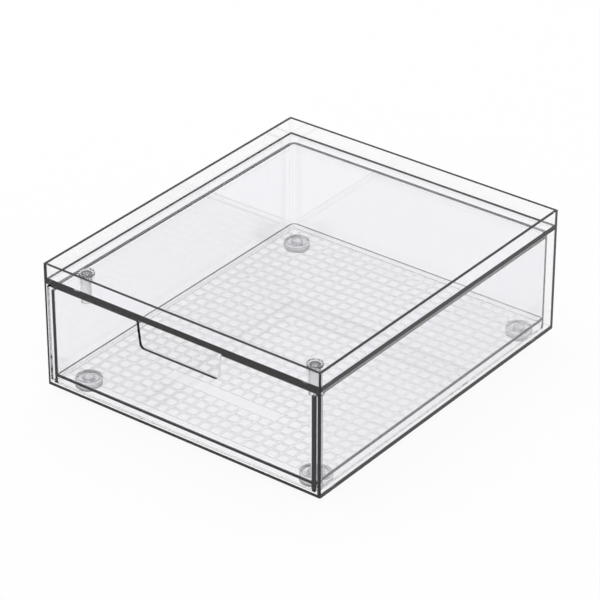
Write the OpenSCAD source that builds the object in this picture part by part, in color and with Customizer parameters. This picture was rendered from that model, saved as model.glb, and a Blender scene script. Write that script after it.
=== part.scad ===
// Stackable drawer box: a clear one-piece case that is open at the front, with a clear
// one-piece drawer, two push-in drawer stops and four push-in feet.
// Millimetres. +Z up, the front faces -Y. The origin is under the middle of the case, at the
// height of the surface that the feet stand on.

/* [Case] */
// Width of the case
case_w = 300; // [240:5:360]
// Depth of the case, front to back
case_d = 350; // [280:5:420]
// Height of the case without its feet
case_h = 121.5; // [110:0.5:160]
// Thickness of the side walls and the back wall
case_wall_t = 3; // [2.5:0.1:4]
// Thickness of the top plate
plate_t = 5; // [3:0.1:6]
// Thickness of the base
base_t = 3; // [2.5:0.1:4]
// Height of the stacking rim above the top plate
rim_h = 14; // [8:0.5:18]
// Thickness of the stacking rim
rim_t = 3; // [2.5:0.1:4]

/* [Drawer] */
// Thickness of the tray's walls and skirt
tray_wall_t = 4.1; // [2:0.1:4.5]
// Thickness of the tray's floor
floor_t = 3; // [2:0.1:4]
// Height of the floor's underside above the base
floor_lift = 6.6; // [4:0.1:10]
// Gap between each side wall of the tray and the case
tray_side_gap = 3.1; // [2.5:0.1:8]
// Gap between the tray's back wall and the case
tray_back_gap = 1.8; // [1:0.1:6]
// Radius of the tray's back corners, on the outside
tray_corner_r = 7; // [5:0.5:12]
// Distance of the tray's rim below the top of the drawer front
tray_rim_drop = 4.2; // [1:0.1:8]
// Gap under the top plate, over the drawer front
front_top_gap = 1.5; // [1:0.1:4]
// Gap between the drawer front and the base
front_bottom_gap = 3; // [1:0.1:5]
// Gap on each side of the drawer front
front_side_gap = 0.8; // [0.5:0.1:2]
// Thickness of the drawer front
front_t = 3; // [2.5:0.1:4]
// Depth of the ribs beside the tray at both ends of the drawer front, from the front face
rib_d = 5.8; // [3.5:0.1:8]

/* [Finger notch] */
// Width of the notch at the top edge of the drawer front
notch_top_w = 91; // [60:1:110]
// Width of the notch at its lower corners
notch_bottom_w = 85; // [50:1:100]
// Depth of the notch
notch_h = 25.5; // [15:0.5:35]
// Radius of the notch's lower corners
notch_r = 4; // [1:0.5:8]

/* [Label pad] */
// Width of the plain pad under the drawer's floor
pad_w = 118; // [60:1:200]
// Depth of the pad, front to back
pad_d = 16; // [8:1:30]
// Distance of the pad's middle from the drawer's front face
pad_from_front = 65; // [30:1:120]
// Recess of the pad into the floor's underside
pad_recess = 0.4; // [0.2:0.1:0.8]

/* [Drawer stops] */
// Distance of each stop's middle from the side of the case
stop_from_side = 26; // [22:1:50]
// Distance of each stop's middle from the front face of the case
stop_from_front = 27; // [16:1:40]
// Diameter of the stop's shaft
stop_shaft_d = 9.6; // [8:0.1:12]
// Length of the shaft, from the top of the plate down
stop_shaft_l = 26.5; // [14:0.5:30]
// Wall of the hollow shaft
stop_shaft_wall = 1.6; // [1:0.1:2.5]
// Diameter of the stop's head
stop_head_d = 14.6; // [13:0.1:18]
// Thickness of the head
stop_head_t = 2.4; // [1.5:0.1:4]
// Number of finger grooves round the head
stop_grooves = 12; // [6:1:16]

/* [Feet] */
// Distance of each foot's middle from the side of the case
foot_from_side = 25.8; // [18:0.1:60]
// Distance of the front feet's middles from the front of the case
foot_from_front = 26.5; // [18:0.1:60]
// Distance of the back feet's middles from the back of the case
foot_from_back = 23.5; // [18:0.1:60]
// Diameter of a foot
foot_d = 24.6; // [20:0.1:30]
// Height of a foot under the case
foot_drop = 6; // [4:0.5:10]
// Width of the shoulder round the neck that is pressed into the base
foot_shoulder = 0.5; // [0.3:0.1:2]
// Wall of the hollow neck
foot_wall = 2; // [1.5:0.1:2.5]
// Depth of the neck's top below the base's upper face
foot_sink = 0.1; // [0:0.05:0.5]
// Diameter of the ring inside the foot
foot_ring_d = 11; // [8:0.5:13]

/* [Fits] */
// Gap that lets the tray slide on the base
slide_gap = 0.2; // [0.1:0.05:0.5]
// Radial clearance of a pressed-in neck or shaft in its hole
press_gap = 0.05; // [0.02:0.01:0.1]

/* [Hidden] */
$fn = 96;

// Overrun of a cutting shape past the face that it cuts
cut = 1;

// Heights above the surface that the feet stand on
case_bottom = foot_drop;
base_top = case_bottom + base_t;
case_top = case_bottom + case_h;
plate_top = case_top - rim_h;
plate_bottom = plate_top - plate_t;

// Depths along Y
case_front = -case_d / 2;
case_back = case_d / 2;
cavity_back = case_back - case_wall_t;

// The drawer
cavity_w = case_w - 2 * case_wall_t;
front_w = cavity_w - 2 * front_side_gap;
front_bottom = base_top + front_bottom_gap;
front_top = plate_bottom - front_top_gap;
front_inner_y = case_front + front_t;
tray_w = cavity_w - 2 * tray_side_gap;
tray_back = cavity_back - tray_back_gap;
tray_bottom = base_top + slide_gap;
tray_top = front_top - tray_rim_drop;
floor_bottom = base_top + floor_lift;
floor_top = floor_bottom + floor_t;

// The stops
stop_x = case_w / 2 - stop_from_side;
stop_y = case_front + stop_from_front;
stop_r = stop_shaft_d / 2;
groove_w = 1.2;
groove_in = 2;
groove_depth = 1.2;

// The feet
foot_x = case_w / 2 - foot_from_side;
foot_front_y = case_front + foot_from_front;
foot_back_y = case_back - foot_from_back;
foot_r = foot_d / 2;
foot_neck_r = foot_r - foot_shoulder;
foot_neck_top = base_top - foot_sink;
foot_floor_t = 2;
foot_ring_r = foot_ring_d / 2;
foot_ring_wall = 1.4;
foot_edge_r = 1;

// A block given by its two opposite corners.
module block(low, high) {
  translate(low) cube(high - low);
}

// The four places on the case where feet sit.
module at_feet() {
  for (x = [-foot_x, foot_x], y = [foot_front_y, foot_back_y]) translate([x, y, 0]) children();
}

// Case: a box that is open at the front, closed by a top plate with a rim standing all round
// it, so that the feet of the next case sit inside the rim.
module case_shell() {
  color([0.93, 0.93, 0.95, 0.35])
  difference() {
    block([-case_w / 2, case_front, case_bottom], [case_w / 2, case_back, case_top]);
    // room for the drawer, open at the front
    block([-cavity_w / 2, case_front - cut, base_top], [cavity_w / 2, cavity_back, plate_bottom]);
    // room inside the stacking rim
    block([-case_w / 2 + rim_t, case_front + rim_t, plate_top],
          [case_w / 2 - rim_t, case_back - rim_t, case_top + cut]);
    // holes for the drawer stops
    for (x = [-stop_x, stop_x]) translate([x, stop_y, plate_bottom - cut])
      cylinder(h = plate_t + 2 * cut, r = stop_r + press_gap);
    // holes for the necks of the feet
    at_feet() translate([0, 0, case_bottom - cut])
      cylinder(h = base_t + 2 * cut, r = foot_neck_r + press_gap);
  }
}

// Plan of the tray, inset by a wall: square at the front, round at the back corners.
module tray_plan(inset, front_y) {
  half_w = tray_w / 2 - inset;
  back_y = tray_back - inset;
  r = tray_corner_r - inset;
  translate([-half_w, front_y]) square([2 * half_w, back_y - r - front_y]);
  translate([-half_w + r, front_y]) square([2 * (half_w - r), back_y - front_y]);
  for (x = [-half_w + r, half_w - r]) translate([x, back_y - r]) circle(r = r);
}

// Outline of the finger notch: sides that lean out, with round lower corners.
module notch_plan() {
  corner_x = notch_bottom_w / 2 - notch_r;
  hull() {
    for (x = [-corner_x, corner_x])
      translate([x, front_top - notch_h + notch_r]) circle(r = notch_r);
    translate([-notch_top_w / 2, front_top]) square([notch_top_w, cut]);
  }
}

// Drawer: a tray whose walls run on below its floor as a skirt that slides on the base, in one
// piece with a wider front that fills the mouth of the case.
module drawer_tray() {
  color([0.93, 0.93, 0.95, 0.35])
  difference() {
    union() {
      // walls, with the floor between them
      translate([0, 0, tray_bottom])
        linear_extrude(tray_top - tray_bottom) tray_plan(0, front_inner_y);
      // drawer front
      block([-front_w / 2, case_front, front_bottom], [front_w / 2, front_inner_y, front_top]);
      // ribs at its two ends, filling the corners outside the tray's walls
      difference() {
        block([-front_w / 2, case_front, front_bottom],
              [front_w / 2, case_front + rib_d, front_top]);
        block([-tray_w / 2, front_inner_y, front_bottom - cut],
              [tray_w / 2, case_front + rib_d + cut, front_top + cut]);
      }
    }
    // room in the tray
    translate([0, 0, floor_top])
      linear_extrude(front_top - floor_top) tray_plan(tray_wall_t, front_inner_y);
    // hollow under the floor, inside the skirt
    translate([0, 0, tray_bottom - cut])
      linear_extrude(floor_bottom - tray_bottom + cut) tray_plan(tray_wall_t, front_inner_y);
    // finger notch
    translate([0, front_inner_y + cut, 0]) rotate([90, 0, 0])
      linear_extrude(front_t + 2 * cut) notch_plan();
    // plain pad under the floor
    translate([-pad_w / 2, case_front + pad_from_front - pad_d / 2, floor_bottom - cut])
      cube([pad_w, pad_d, pad_recess + cut]);
  }
}

// Drawer stop: a hollow shaft pressed down through the top plate until its head rests on the
// plate. The tray's back wall meets the shaft when the drawer is drawn out.
module stop_plug(x) {
  color([0.85, 0.85, 0.88, 0.6])
  translate([x, stop_y, plate_top])
  difference() {
    union() {
      translate([0, 0, -stop_shaft_l]) cylinder(h = stop_shaft_l, r = stop_r);
      cylinder(h = stop_head_t, d = stop_head_d);
    }
    translate([0, 0, -stop_shaft_l - cut])
      cylinder(h = stop_shaft_l + cut - stop_shaft_wall, r = stop_r - stop_shaft_wall);
    // finger grooves round the head
    for (i = [0 : stop_grooves - 1]) rotate([0, 0, i * 360 / stop_grooves])
      translate([stop_head_d / 2 - groove_in, -groove_w / 2, stop_head_t - groove_depth])
        cube([groove_in + cut, groove_w, groove_depth + cut]);
  }
}

// Foot: a hollow cup of softer plastic with a ring inside it. Its neck is pressed up into the
// base and its shoulder rests against the underside.
module foot(x, y) {
  color([0.84, 0.84, 0.87, 0.8])
  translate([x, y, 0])
  difference() {
    rotate_extrude() polygon([
      [0, 0], [foot_r - foot_edge_r, 0], [foot_r, foot_edge_r], [foot_r, foot_drop],
      [foot_neck_r, foot_drop], [foot_neck_r, foot_neck_top], [0, foot_neck_top]
    ]);
    // hollow between the neck and the ring
    translate([0, 0, foot_floor_t]) difference() {
      cylinder(h = foot_neck_top, r = foot_neck_r - foot_wall);
      translate([0, 0, -cut]) cylinder(h = foot_neck_top + 2 * cut, r = foot_ring_r);
    }
    // hollow inside the ring
    translate([0, 0, foot_floor_t]) cylinder(h = foot_neck_top, r = foot_ring_r - foot_ring_wall);
  }
}

module stop_plug_left() stop_plug(-stop_x);
module stop_plug_right() stop_plug(stop_x);
module foot_front_left() foot(-foot_x, foot_front_y);
module foot_front_right() foot(foot_x, foot_front_y);
module foot_back_left() foot(-foot_x, foot_back_y);
module foot_back_right() foot(foot_x, foot_back_y);

case_shell();
drawer_tray();
stop_plug_left();
stop_plug_right();
foot_front_left();
foot_front_right();
foot_back_left();
foot_back_right();
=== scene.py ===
"""A clear stackable drawer box: an open-fronted case, a drawer, two drawer stops and four feet."""

import math

import bmesh
import bpy
from mathutils import Matrix, Vector


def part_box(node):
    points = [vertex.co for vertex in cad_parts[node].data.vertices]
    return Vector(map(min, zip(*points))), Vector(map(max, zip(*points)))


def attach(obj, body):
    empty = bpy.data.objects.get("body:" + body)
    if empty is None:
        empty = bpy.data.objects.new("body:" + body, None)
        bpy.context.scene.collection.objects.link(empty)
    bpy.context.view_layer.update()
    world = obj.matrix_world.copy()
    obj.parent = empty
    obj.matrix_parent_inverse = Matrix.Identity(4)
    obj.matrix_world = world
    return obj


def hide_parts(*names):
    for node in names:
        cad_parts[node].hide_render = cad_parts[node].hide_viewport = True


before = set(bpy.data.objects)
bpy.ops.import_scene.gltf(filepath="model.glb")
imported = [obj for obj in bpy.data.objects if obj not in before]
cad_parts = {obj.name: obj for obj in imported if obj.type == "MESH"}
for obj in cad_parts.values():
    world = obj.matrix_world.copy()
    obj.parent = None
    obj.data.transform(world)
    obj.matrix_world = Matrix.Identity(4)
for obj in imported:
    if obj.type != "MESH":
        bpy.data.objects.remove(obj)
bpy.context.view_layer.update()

# ---------------------------------------------------------------------------------------------
# The case. One clear moulding in hard, glossy plastic, open at the front and closed by a top
# plate. A rim stands all round the plate, so that the next case can't slide off, and round holes
# take the feet and the drawer stops.
# ---------------------------------------------------------------------------------------------
MM = 0.001
WALL = 3 * MM
BASE = 3 * MM
PLATE = 5 * MM
RIM_HEIGHT = 14 * MM
RIM = 3 * MM
FOOT_HOLE_R = 11.85 * MM
STOP_HOLE_R = 4.85 * MM
# Radii of the upright outer corners, of the corners inside, and of the other edges.
CASE_CORNER = 1.5 * MM
CASE_FILLET = 0.3 * MM
CASE_EDGE = 0.3 * MM
# A cutting shape runs on by this much past the face that it cuts.
PAST = 5 * MM
# Two places that are closer than this are the same place.
ROUNDING = 0.001 * MM
# Faces that turn by less than FLAT are one plane, faces that turn by less than SMOOTH are shaded
# as one, and edges that turn by more than SHARP are rounded.
FLAT = math.radians(0.5)
SMOOTH = math.radians(40)
SHARP = math.radians(50)
FEET = ["foot_front_left", "foot_front_right", "foot_back_left", "foot_back_right"]
STOPS = ["stop_plug_left", "stop_plug_right"]


def activate(obj):
    """Makes obj the only selected object."""
    bpy.ops.object.select_all(action="DESELECT")
    obj.select_set(True)
    bpy.context.view_layer.objects.active = obj


def block(name, low, high):
    """A block between two opposite corners, with its place in its mesh."""
    bpy.ops.object.select_all(action="DESELECT")
    low = Vector(low)
    high = Vector(high)
    bpy.ops.mesh.primitive_cube_add(size=1, location=(low + high) / 2, scale=high - low)
    obj = bpy.context.object
    obj.name = name
    bpy.ops.object.transform_apply(location=True, rotation=True, scale=True)
    return obj


def rod(name, place, low_z, high_z, radius, sides):
    """An upright round rod over a place, with its own place in its mesh."""
    bpy.ops.object.select_all(action="DESELECT")
    bpy.ops.mesh.primitive_cylinder_add(
        vertices=sides,
        radius=radius,
        depth=high_z - low_z,
        location=(place.x, place.y, (low_z + high_z) / 2),
    )
    obj = bpy.context.object
    obj.name = name
    bpy.ops.object.transform_apply(location=True, rotation=True, scale=True)
    return obj


def middle(node):
    """The middle of a CAD node's box."""
    low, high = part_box(node)
    return (low + high) / 2


def same(a, b):
    """True for two places along an axis that are the same but for rounding."""
    return abs(a - b) < ROUNDING


def upright(a, b):
    """True for an edge that runs straight up."""
    return same(a.x, b.x) and same(a.y, b.y)


def select_edges(obj, wanted):
    """Selects the edges whose two ends together pass the test wanted. Leaves obj in edit mode."""
    activate(obj)
    bpy.ops.object.mode_set(mode="EDIT")
    bpy.ops.mesh.select_mode(type="EDGE")
    bpy.ops.mesh.select_all(action="DESELECT")
    mesh = bmesh.from_edit_mesh(obj.data)
    for edge in mesh.edges:
        edge.select_set(wanted(edge.verts[0].co, edge.verts[1].co))
    bmesh.update_edit_mesh(obj.data)


def round_edges(obj, wanted, radius, segments):
    """Rounds the edges that pass the test wanted."""
    select_edges(obj, wanted)
    bpy.ops.mesh.bevel(offset=radius, segments=segments, profile=0.5, affect="EDGES")
    bpy.ops.object.mode_set(mode="OBJECT")


def combine(obj, other, operation):
    """Cuts other out of obj, or joins it to obj, and removes other."""
    boolean = obj.modifiers.new("combine", "BOOLEAN")
    boolean.operation = operation
    boolean.solver = "EXACT"
    boolean.object = other
    activate(obj)
    bpy.ops.object.modifier_apply(modifier=boolean.name)
    bpy.data.objects.remove(other)


def merge_flat(obj):
    """Merges the faces that a cut has left in one plane."""
    activate(obj)
    bpy.ops.object.mode_set(mode="EDIT")
    bpy.ops.mesh.select_all(action="SELECT")
    bpy.ops.mesh.remove_doubles(threshold=ROUNDING)
    bpy.ops.mesh.dissolve_limited(angle_limit=FLAT)
    bpy.ops.object.mode_set(mode="OBJECT")


def soften(obj, radius, segments):
    """Rounds every sharp edge."""
    activate(obj)
    bevel = obj.modifiers.new("edges", "BEVEL")
    bevel.width = radius
    bevel.segments = segments
    bevel.limit_method = "ANGLE"
    bevel.angle_limit = SHARP
    bpy.ops.object.modifier_apply(modifier=bevel.name)


def smooth(obj):
    """Smooth shading that keeps the flat faces flat."""
    activate(obj)
    bpy.ops.object.shade_smooth_by_angle(angle=SMOOTH)
    normals = obj.modifiers.new("normals", "WEIGHTED_NORMAL")
    normals.weight = 100
    normals.keep_sharp = True
    bpy.ops.object.modifier_apply(modifier=normals.name)


def noise(tree, coordinates, scale, detail):
    """The value of a noise pattern."""
    pattern = tree.nodes.new("ShaderNodeTexNoise")
    pattern.inputs["Scale"].default_value = scale
    pattern.inputs["Detail"].default_value = detail
    tree.links.new(coordinates, pattern.inputs["Vector"])
    return pattern.outputs["Fac"]


def make_uneven(tree, pattern, strength, depth):
    """Gives the surface low bumps where the pattern is high."""
    bump = tree.nodes.new("ShaderNodeBump")
    bump.inputs["Strength"].default_value = strength
    bump.inputs["Distance"].default_value = depth
    tree.links.new(pattern, bump.inputs["Height"])
    tree.links.new(bump.outputs["Normal"], tree.nodes["Principled BSDF"].inputs["Normal"])


def make_dull(tree, pattern, start, end, least, most):
    """Roughness that grows from least to most while the pattern goes from start to end."""
    dull = tree.nodes.new("ShaderNodeMapRange")
    dull.inputs["From Min"].default_value = start
    dull.inputs["From Max"].default_value = end
    dull.inputs["To Min"].default_value = least
    dull.inputs["To Max"].default_value = most
    tree.links.new(pattern, dull.inputs["Value"])
    tree.links.new(dull.outputs["Result"], tree.nodes["Principled BSDF"].inputs["Roughness"])


WHITE = (1.0, 1.0, 1.0, 1.0)
# The colour that deep plastic leaves of white light.
DEEP_VIOLET = (0.35, 0.23, 0.95, 1.0)
# The streaks are long from front to back, and this much duller than the rest.
STREAK_SQUEEZE = 0.08
STREAK_HAZE = 0.03


def clear_plastic(name, density, haze, milk):
    """Hard clear plastic with a trace of violet, with a least roughness and a share of white."""
    material = bpy.data.materials.new(name)
    material.use_nodes = True
    tree = material.node_tree
    shader = tree.nodes["Principled BSDF"]
    shader.inputs["Base Color"].default_value = WHITE
    shader.inputs["Transmission Weight"].default_value = 1.0 - milk
    shader.inputs["IOR"].default_value = 1.50
    coordinates = tree.nodes.new("ShaderNodeTexCoord").outputs["Object"]
    # Long, very low waves from the mould.
    waves = noise(tree, coordinates, scale=25, detail=1)
    make_uneven(tree, waves, strength=0.2, depth=0.05 * MM)
    # Streaks of a slightly duller surface from handling.
    stretch = tree.nodes.new("ShaderNodeMapping")
    stretch.inputs["Scale"].default_value = (1.0, STREAK_SQUEEZE, 1.0)
    tree.links.new(coordinates, stretch.inputs["Vector"])
    streaks = noise(tree, stretch.outputs["Vector"], scale=220, detail=4)
    make_dull(tree, streaks, start=0.55, end=0.80, least=haze, most=haze + STREAK_HAZE)
    absorption = tree.nodes.new("ShaderNodeVolumeAbsorption")
    absorption.inputs["Color"].default_value = DEEP_VIOLET
    absorption.inputs["Density"].default_value = density
    tree.links.new(absorption.outputs["Volume"], tree.nodes["Material Output"].inputs["Volume"])
    return material


case_low, case_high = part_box("case_shell")
plate_top = case_high.z - RIM_HEIGHT
plate_bottom = plate_top - PLATE
base_top = case_low.z + BASE
cavity_x = case_high.x - WALL
cavity_back = case_high.y - WALL

case = block("clear_case", case_low, case_high)
round_edges(case, upright, CASE_CORNER, segments=4)

# Room for the drawer, open at the front.
cavity = block(
    "cavity",
    (-cavity_x, case_low.y - PAST, base_top),
    (cavity_x, cavity_back, plate_bottom),
)
round_edges(
    cavity,
    lambda a, b: same(a.x, b.x) or min(a.y, b.y) > 0,
    CASE_FILLET,
    segments=3,
)
combine(case, cavity, "DIFFERENCE")

# Room inside the stacking rim.
recess = block(
    "recess",
    (-case_high.x + RIM, case_low.y + RIM, plate_top),
    (case_high.x - RIM, case_high.y - RIM, case_high.z + PAST),
)
round_edges(
    recess,
    lambda a, b: upright(a, b) or max(a.z, b.z) < case_high.z,
    CASE_FILLET,
    segments=3,
)
combine(case, recess, "DIFFERENCE")
merge_flat(case)
soften(case, CASE_EDGE, segments=3)

# The holes for the four feet and the two drawer stops go right through.
for node in FEET:
    hole = rod("foot_hole", middle(node), -PAST, base_top + PAST, FOOT_HOLE_R, sides=64)
    combine(case, hole, "DIFFERENCE")
for node in STOPS:
    hole = rod(
        "stop_hole",
        middle(node),
        plate_bottom - PAST,
        plate_top + PAST,
        STOP_HOLE_R,
        sides=48,
    )
    combine(case, hole, "DIFFERENCE")

smooth(case)
clear = clear_plastic("clear_plastic", density=3.5, haze=0.0, milk=0.0)
case.data.materials.clear()
case.data.materials.append(clear)
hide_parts("case_shell")
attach(case, "case")

# ---------------------------------------------------------------------------------------------
# The drawer. One clear moulding: a tray with round back corners, whose walls run on below its
# floor as a skirt that slides on the base, and a wider front with a finger notch. A grid of low
# square pads is moulded under the floor, with a plain pad near the front.
# ---------------------------------------------------------------------------------------------
TRAY_WALL = 4.1 * MM
TRAY_CORNER = 7 * MM
TRAY_RIM_DROP = 4.2 * MM
SIDE_GAP = 3.1 * MM
FLOOR_LIFT = 6.6 * MM
FLOOR_THICKNESS = 3 * MM
FLOOR_FILLET = 1.2 * MM
FRONT_THICKNESS = 3 * MM
FRONT_LIFT = 3 * MM
RIB_DEPTH = 5.8 * MM
DRAWER_EDGE = 0.3 * MM
# The tray and the ribs reach this far into the front, and the ribs this far into the tray.
INTO_FRONT = 1.5 * MM
INTO_TRAY = 1 * MM
# The finger notch. Its cutting shape ends a hair above the front, where it is NOTCH_TOP wide.
NOTCH_TOP = 91 * MM
NOTCH_BOTTOM = 85 * MM
NOTCH_DEPTH = 25.5 * MM
NOTCH_CORNER = 4 * MM
NOTCH_PAST = 0.001 * MM
# The grid's pitch, the groove between two pads, how far the pads stand out, and their draft.
GRID_PITCH = 12 * MM
GRID_GROOVE = 2.2 * MM
PAD_HEIGHT = 0.45 * MM
PAD_DRAFT = 0.1 * MM
# The first lines of the grid, and how many pads it has each way.
GRID_FIRST_X = -135.1 * MM
GRID_FIRST_Y = -163.2 * MM
GRID_ACROSS = 23
GRID_DEEP = 27
# The plain pad takes the place of the squares whose middles lie within these lines.
PLAIN_X = 59 * MM
PLAIN_FRONT_Y = -118 * MM
PLAIN_BACK_Y = -101 * MM

tray_low, tray_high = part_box("drawer_tray")
tray_x = cavity_x - SIDE_GAP
room_x = tray_x - TRAY_WALL
room_back = tray_high.y - TRAY_WALL
room_corner = TRAY_CORNER - TRAY_WALL
tray_front = tray_low.y + FRONT_THICKNESS
front_bottom = base_top + FRONT_LIFT
floor_under = base_top + FLOOR_LIFT
floor_top = floor_under + FLOOR_THICKNESS
# Between the pads the floor is thinner.
groove_z = floor_under + PAD_HEIGHT


def back_corner(a, b):
    """True for an upright edge in the back half."""
    return upright(a, b) and a.y > 0


# The tray and its front, with a rib at each end.
drawer = block(
    "clear_drawer",
    (-tray_x, tray_front - INTO_FRONT, tray_low.z),
    (tray_x, tray_high.y, tray_high.z - TRAY_RIM_DROP),
)
round_edges(drawer, back_corner, TRAY_CORNER, segments=10)
front = block(
    "front",
    (tray_low.x, tray_low.y, front_bottom),
    (tray_high.x, tray_front, tray_high.z),
)
combine(drawer, front, "UNION")
for side in (-1, 1):
    near = side * (tray_x - INTO_TRAY)
    far = side * tray_high.x
    rib = block(
        "rib",
        (min(near, far), tray_front - INTO_FRONT, front_bottom),
        (max(near, far), tray_low.y + RIB_DEPTH, tray_high.z),
    )
    combine(drawer, rib, "UNION")

# Room in the tray, with a fillet round the floor and beside the front.
room = block(
    "room",
    (-room_x, tray_front, floor_top),
    (room_x, room_back, tray_high.z + PAST),
)
round_edges(room, back_corner, room_corner, segments=8)
round_edges(
    room,
    lambda a, b: max(a.z, b.z) < tray_high.z or (upright(a, b) and a.y < tray_front + ROUNDING),
    FLOOR_FILLET,
    segments=3,
)
combine(drawer, room, "DIFFERENCE")

# The hollow inside the skirt.
hollow = block(
    "hollow",
    (-room_x, tray_front, tray_low.z - PAST),
    (room_x, room_back, groove_z),
)
round_edges(hollow, back_corner, room_corner, segments=8)
combine(drawer, hollow, "DIFFERENCE")

# The finger notch: narrower at the bottom, with round lower corners.
notch_bottom = tray_high.z - NOTCH_DEPTH
notch = block(
    "notch",
    (-NOTCH_TOP / 2, tray_low.y - PAST, notch_bottom),
    (NOTCH_TOP / 2, tray_front + PAST, tray_high.z + NOTCH_PAST),
)
select_edges(notch, lambda a, b: max(a.z, b.z) < tray_high.z)
bpy.ops.transform.resize(
    value=(NOTCH_BOTTOM / NOTCH_TOP, 1, 1),
    center_override=(0, tray_low.y, notch_bottom),
)
bpy.ops.object.mode_set(mode="OBJECT")
round_edges(
    notch,
    lambda a, b: max(a.z, b.z) < tray_high.z and same(a.x, b.x),
    NOTCH_CORNER,
    segments=8,
)
combine(drawer, notch, "DIFFERENCE")
merge_flat(drawer)
soften(drawer, DRAWER_EDGE, segments=3)


def select_faces(obj, wanted):
    """Selects the faces whose middle and normal pass the test wanted. Leaves obj in edit mode."""
    activate(obj)
    bpy.ops.object.mode_set(mode="EDIT")
    bpy.ops.mesh.select_mode(type="FACE")
    bpy.ops.mesh.select_all(action="DESELECT")
    mesh = bmesh.from_edit_mesh(obj.data)
    for face in mesh.faces:
        face.select_set(wanted(face.calc_center_median(), face.normal))
    bmesh.update_edit_mesh(obj.data)


# A normal that points straight up or down but for rounding has at least this height.
LEVEL = 0.999


def faces_down(place, normal):
    """True for a level face that looks down."""
    return normal.z < -LEVEL


def under_floor(place, normal):
    """True for the faces of the floor's underside."""
    return faces_down(place, normal) and same(place.z, groove_z)


def split_underside(place, normal):
    """Splits the floor's underside along a plane."""
    select_faces(drawer, under_floor)
    bpy.ops.mesh.bisect(plane_co=place, plane_no=normal)
    bpy.ops.object.mode_set(mode="OBJECT")


# The grid: the floor's underside is split into squares, each is inset by half a groove, and then
# pressed out with a little draft.
grid_last_x = GRID_FIRST_X + GRID_ACROSS * GRID_PITCH
grid_last_y = GRID_FIRST_Y + GRID_DEEP * GRID_PITCH
for i in range(GRID_ACROSS + 1):
    split_underside((GRID_FIRST_X + i * GRID_PITCH, 0, 0), (1, 0, 0))
for i in range(GRID_DEEP + 1):
    split_underside((0, GRID_FIRST_Y + i * GRID_PITCH, 0), (0, 1, 0))


def grid_pad(place, normal):
    """True for a square of the grid that isn't in the plain pad."""
    across = GRID_FIRST_X < place.x < grid_last_x
    deep = GRID_FIRST_Y < place.y < grid_last_y
    plain = abs(place.x) < PLAIN_X and PLAIN_FRONT_Y < place.y < PLAIN_BACK_Y
    return under_floor(place, normal) and across and deep and not plain


select_faces(drawer, grid_pad)
bpy.ops.mesh.inset(thickness=GRID_GROOVE / 2, depth=0, use_individual=True)
bpy.ops.mesh.inset(thickness=PAD_DRAFT, depth=PAD_HEIGHT, use_individual=True)
bpy.ops.object.mode_set(mode="OBJECT")
smooth(drawer)


def shade_between(tree, value, start, start_colour, end, end_colour):
    """A colour ramp that goes from one colour to another while value goes from start to end."""
    shades = tree.nodes.new("ShaderNodeValToRGB")
    shades.color_ramp.elements[0].position = start
    shades.color_ramp.elements[0].color = start_colour
    shades.color_ramp.elements[1].position = end
    shades.color_ramp.elements[1].color = end_colour
    tree.links.new(value, shades.inputs["Fac"])
    return shades


# The darkest colour of the painted shade in the grooves, and how far from the grooves' level it
# still shows.
GROOVE_SHADE_COLOUR = (0.97, 0.965, 0.98, 1.0)
GROOVE_SHADE_REACH = 0.02 * MM


def groove_shaded_plastic():
    """The clear plastic, with painted shade, mottled by a fine noise, in the grooves between the
    pads on the floor's underside.
    """
    material = clear.copy()
    material.name = "groove_shaded_plastic"
    tree = material.node_tree
    coordinates = tree.nodes.new("ShaderNodeTexCoord").outputs["Object"]
    heights = tree.nodes.new("ShaderNodeSeparateXYZ")
    tree.links.new(coordinates, heights.inputs[0])
    in_groove = tree.nodes.new("ShaderNodeMath")
    in_groove.operation = "COMPARE"
    in_groove.inputs[1].default_value = groove_z
    in_groove.inputs[2].default_value = GROOVE_SHADE_REACH
    tree.links.new(heights.outputs["Z"], in_groove.inputs[0])
    # Painted shade: the grooves' base colour is darkened a little, darkest where this fine noise
    # is low.
    shade_mottle = noise(tree, coordinates, scale=900, detail=2)
    shades = shade_between(tree, shade_mottle, 0.0, GROOVE_SHADE_COLOUR, 1.0, WHITE)
    colour = tree.nodes.new("ShaderNodeMix")
    colour.data_type = "RGBA"
    colour.inputs["A"].default_value = WHITE
    tree.links.new(in_groove.outputs[0], colour.inputs["Factor"])
    tree.links.new(shades.outputs["Color"], colour.inputs["B"])
    tree.links.new(colour.outputs["Result"], tree.nodes["Principled BSDF"].inputs["Base Color"])
    return material


drawer.data.materials.clear()
drawer.data.materials.append(groove_shaded_plastic())
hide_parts("drawer_tray")
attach(drawer, "drawer")

# ---------------------------------------------------------------------------------------------
# The two drawer stops. Hollow plugs of the same kind of plastic, a little cloudy, pushed down
# through the top plate. Each has a grooved head for the fingers, which rests on the plate.
# ---------------------------------------------------------------------------------------------
STOP_R = 4.8 * MM
STOP_HEAD_R = 7.3 * MM
STOP_WALL = 1.6 * MM
STOP_EDGE = 0.3 * MM
STOP_GROOVES = 12
GROOVE_WIDTH = 1.2 * MM
GROOVE_DEPTH = 1.2 * MM
# How far the grooves reach in from the head's edge.
GROOVE_IN = 2 * MM
# Two pieces that rest on each other are this far apart.
HAIR = 0.04 * MM


def draw_out(height):
    """Draws the selected faces out by a height, upwards or, where it is negative, downwards."""
    bpy.ops.mesh.extrude_region_move(TRANSFORM_OT_translate={"value": (0, 0, height)})


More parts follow.
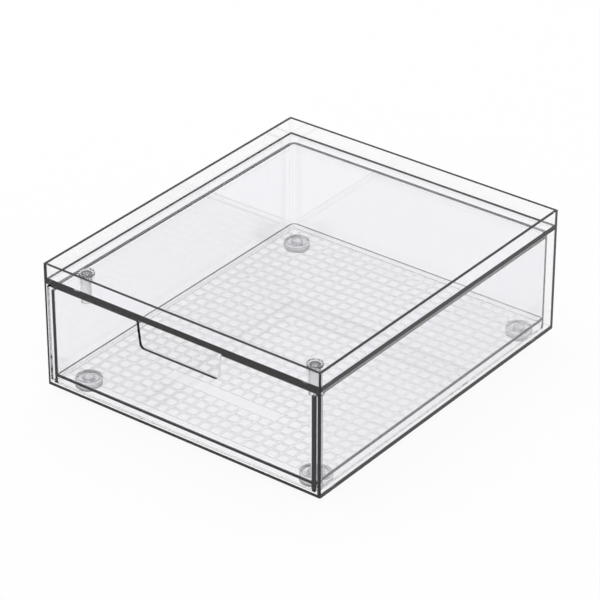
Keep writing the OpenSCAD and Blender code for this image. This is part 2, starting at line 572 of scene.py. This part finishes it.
stop_plastic = clear_plastic("stop_plastic", density=8.0, haze=0.04, milk=0.12)
for node in STOPS:
    low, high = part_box(node)
    place = middle(node)
    name = node.replace("plug", "knob")
    stop = rod(name, place, plate_top + HAIR, high.z, STOP_HEAD_R, sides=48)
    # The shaft is drawn out of the head's underside, and the hollow pressed back into it.
    select_faces(stop, faces_down)
    bpy.ops.mesh.inset(thickness=STOP_HEAD_R - STOP_R)
    draw_out(low.z - plate_top - HAIR)
    bpy.ops.mesh.inset(thickness=STOP_WALL)
    draw_out(plate_top - STOP_WALL - low.z)
    bpy.ops.object.mode_set(mode="OBJECT")
    soften(stop, STOP_EDGE, segments=2)
    for i in range(STOP_GROOVES):
        groove = block(
            "groove",
            (STOP_HEAD_R - GROOVE_IN, -GROOVE_WIDTH / 2, high.z - GROOVE_DEPTH - place.z),
            (STOP_HEAD_R + GROOVE_IN, GROOVE_WIDTH / 2, high.z + GROOVE_DEPTH - place.z),
        )
        turn = Matrix.Rotation(i * math.tau / STOP_GROOVES, 4, "Z")
        groove.data.transform(Matrix.Translation(place) @ turn)
        combine(stop, groove, "DIFFERENCE")
    smooth(stop)
    stop.data.materials.clear()
    stop.data.materials.append(stop_plastic)
    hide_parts(node)
    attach(stop, "case")

# ---------------------------------------------------------------------------------------------
# The four feet. Cups of softer, milky plastic with a ring inside, pressed up into the base until
# their shoulders meet it. They keep the case off the table.
# ---------------------------------------------------------------------------------------------
FOOT_R = 12.3 * MM
FOOT_NECK_R = 11.8 * MM
FOOT_WALL = 2 * MM
FOOT_FLOOR = 2 * MM
FOOT_RING_R = 5.5 * MM
FOOT_RING_WALL = 1.4 * MM
FOOT_CORNER = 1 * MM
FOOT_EDGE = 0.3 * MM
MILK_DARK = (0.92, 0.92, 0.95, 1.0)
MILK_LIGHT = (0.98, 0.98, 1.0, 1.0)


def milky_plastic():
    """Soft, milky plastic: light passes through it, but nothing shows sharply."""
    material = bpy.data.materials.new("foot_plastic")
    material.use_nodes = True
    tree = material.node_tree
    shader = tree.nodes["Principled BSDF"]
    shader.inputs["Transmission Weight"].default_value = 0.95
    shader.inputs["IOR"].default_value = 1.41
    coordinates = tree.nodes.new("ShaderNodeTexCoord").outputs["Object"]
    mottle = noise(tree, coordinates, scale=300, detail=3)
    shades = shade_between(tree, mottle, 0.35, MILK_DARK, 0.65, MILK_LIGHT)
    tree.links.new(shades.outputs["Color"], shader.inputs["Base Color"])
    make_dull(tree, mottle, start=0.0, end=1.0, least=0.35, most=0.55)
    make_uneven(tree, mottle, strength=0.3, depth=0.05 * MM)
    return material


def faces_up(place, normal):
    """True for a level face that looks up."""
    return normal.z > LEVEL


foot_plastic = milky_plastic()
for node in FEET:
    low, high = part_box(node)
    shoulder = case_low.z - HAIR
    cup_depth = high.z - low.z - FOOT_FLOOR
    name = node.replace("foot", "cup")
    foot = rod(name, middle(node), low.z, shoulder, FOOT_R, sides=64)
    round_edges(foot, lambda a, b: max(a.z, b.z) < low.z + ROUNDING, FOOT_CORNER, segments=3)
    # The neck goes up into the base, the cup is pressed into it, and the ring stands in the cup.
    select_faces(foot, faces_up)
    bpy.ops.mesh.inset(thickness=FOOT_R - FOOT_NECK_R)
    draw_out(high.z - shoulder)
    bpy.ops.mesh.inset(thickness=FOOT_WALL)
    draw_out(-cup_depth)
    bpy.ops.mesh.inset(thickness=FOOT_NECK_R - FOOT_WALL - FOOT_RING_R)
    draw_out(cup_depth)
    bpy.ops.mesh.inset(thickness=FOOT_RING_WALL)
    draw_out(-cup_depth)
    bpy.ops.object.mode_set(mode="OBJECT")
    soften(foot, FOOT_EDGE, segments=2)
    smooth(foot)
    foot.data.materials.clear()
    foot.data.materials.append(foot_plastic)
    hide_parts(node)
    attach(foot, "case")

# ---------------------------------------------------------------------------------------------
# The studio floor, which isn't part of the object. Where it is seen directly, most of its colour
# is its own white, and the rest shows the object's shadow.
# ---------------------------------------------------------------------------------------------
# The floor's side in metres, and how far it lies under the feet.
FLOOR_SIZE = 16
FLOOR_DROP = 0.2 * MM
FLOOR_COLOUR = (0.85, 0.85, 0.85, 1.0)
FLOOR_OWN_WHITE = 0.93

bpy.ops.object.select_all(action="DESELECT")
bpy.ops.mesh.primitive_plane_add(size=FLOOR_SIZE, location=(0, 0, -FLOOR_DROP))
studio_floor = bpy.context.object
studio_floor.name = "studio_floor"
bpy.ops.object.transform_apply(location=True, rotation=True, scale=True)


def larger(tree, first, second):
    """The larger of two values."""
    result = tree.nodes.new("ShaderNodeMath")
    result.operation = "MAXIMUM"
    tree.links.new(first, result.inputs[0])
    tree.links.new(second, result.inputs[1])
    return result.outputs[0]


paper = bpy.data.materials.new("studio_paper")
paper.use_nodes = True
paper_tree = paper.node_tree
paper_tree.nodes.remove(paper_tree.nodes["Principled BSDF"])
dull_paper = paper_tree.nodes.new("ShaderNodeBsdfDiffuse")
dull_paper.inputs["Color"].default_value = FLOOR_COLOUR
own_white = paper_tree.nodes.new("ShaderNodeEmission")
own_white.inputs["Strength"].default_value = 1.0
# 1 for what the camera sees directly, in a glossy surface or through a clear one, or else 0.
path = paper_tree.nodes.new("ShaderNodeLightPath").outputs
seen = larger(paper_tree, path["Is Camera Ray"], path["Is Glossy Ray"])
seen = larger(paper_tree, seen, path["Is Transmission Ray"])
share = paper_tree.nodes.new("ShaderNodeMath")
share.operation = "MULTIPLY"
share.inputs[1].default_value = FLOOR_OWN_WHITE
paper_tree.links.new(seen, share.inputs[0])
mix = paper_tree.nodes.new("ShaderNodeMixShader")
paper_tree.links.new(share.outputs[0], mix.inputs["Fac"])
paper_tree.links.new(dull_paper.outputs[0], mix.inputs[1])
paper_tree.links.new(own_white.outputs[0], mix.inputs[2])
paper_tree.links.new(mix.outputs[0], paper_tree.nodes["Material Output"].inputs["Surface"])
studio_floor.data.materials.append(paper)

# ---------------------------------------------------------------------------------------------
# The light: a surround that is white at the sides and greyer overhead, and one large soft lamp.
# ---------------------------------------------------------------------------------------------
OVERHEAD_COLOUR = (0.6, 0.6, 0.61, 1.0)
# The lamp's side and place are in metres, and its power is in watts.
LAMP_SIZE = 1.6
LAMP_POWER = 20
LAMP_PLACE = (-0.6, 0.3, 2.4)

scene = bpy.context.scene
world = bpy.data.worlds.new("studio")
scene.world = world
world.use_nodes = True
world_tree = world.node_tree
background = world_tree.nodes["Background"]
direction = world_tree.nodes.new("ShaderNodeTexCoord").outputs["Generated"]
split = world_tree.nodes.new("ShaderNodeSeparateXYZ")
world_tree.links.new(direction, split.inputs[0])
sky = shade_between(world_tree, split.outputs["Z"], 0.60, WHITE, 0.90, OVERHEAD_COLOUR)
sky.color_ramp.interpolation = "EASE"
world_tree.links.new(sky.outputs["Color"], background.inputs["Color"])
background.inputs["Strength"].default_value = 1.0

lamp_data = bpy.data.lights.new("soft_box", "AREA")
lamp_data.shape = "SQUARE"
lamp_data.size = LAMP_SIZE
lamp_data.energy = LAMP_POWER
lamp = bpy.data.objects.new("soft_box", lamp_data)
scene.collection.objects.link(lamp)
lamp.location = LAMP_PLACE
lamp.rotation_euler = (-lamp.location).to_track_quat("-Z", "Y").to_euler()
# Its mirror image in the plates would hide what is under them.
lamp.visible_glossy = False
lamp.visible_transmission = False

# ---------------------------------------------------------------------------------------------
# The camera looks down at the case from the right of its front, with a long lens.
# ---------------------------------------------------------------------------------------------
VIEW_AZIMUTH = math.radians(37.413)
VIEW_ELEVATION = math.radians(30.304)
VIEW_DISTANCE = 2.8056
VIEW_SIDEWAYS = -3.875 * MM
VIEW_UPWARDS = -3.205 * MM
VIEW_MIDDLE = Vector((0, 0, 66.78 * MM))
VIEW_REACH = 100
# The lens and the width of its film, in millimetres as Blender's camera has them.
VIEW_LENS = 190.48
VIEW_FILM = 36

camera_data = bpy.data.cameras.new("camera")
camera_data.sensor_width = VIEW_FILM
camera_data.lens = VIEW_LENS
camera_data.clip_end = VIEW_REACH
camera = bpy.data.objects.new("camera", camera_data)
scene.collection.objects.link(camera)
forward = Vector(
    (
        -math.sin(VIEW_AZIMUTH) * math.cos(VIEW_ELEVATION),
        math.cos(VIEW_AZIMUTH) * math.cos(VIEW_ELEVATION),
        -math.sin(VIEW_ELEVATION),
    )
)
right = Vector((math.cos(VIEW_AZIMUTH), math.sin(VIEW_AZIMUTH), 0))
up = right.cross(forward)
camera.location = VIEW_MIDDLE - forward * VIEW_DISTANCE + right * VIEW_SIDEWAYS + up * VIEW_UPWARDS
camera.rotation_euler = forward.to_track_quat("-Z", "Y").to_euler()
scene.camera = camera

# Light that passes through the box crosses many faces. Light that is caught inside a plate is
# followed for two reflections only, so that the plates' edges look dark.
FACES_CROSSED = 48
scene.cycles.max_bounces = FACES_CROSSED
scene.cycles.transmission_bounces = FACES_CROSSED
scene.cycles.glossy_bounces = 1
scene.cycles.diffuse_bounces = 3
scene.cycles.use_denoising = True
scene.view_settings.view_transform = "Standard"
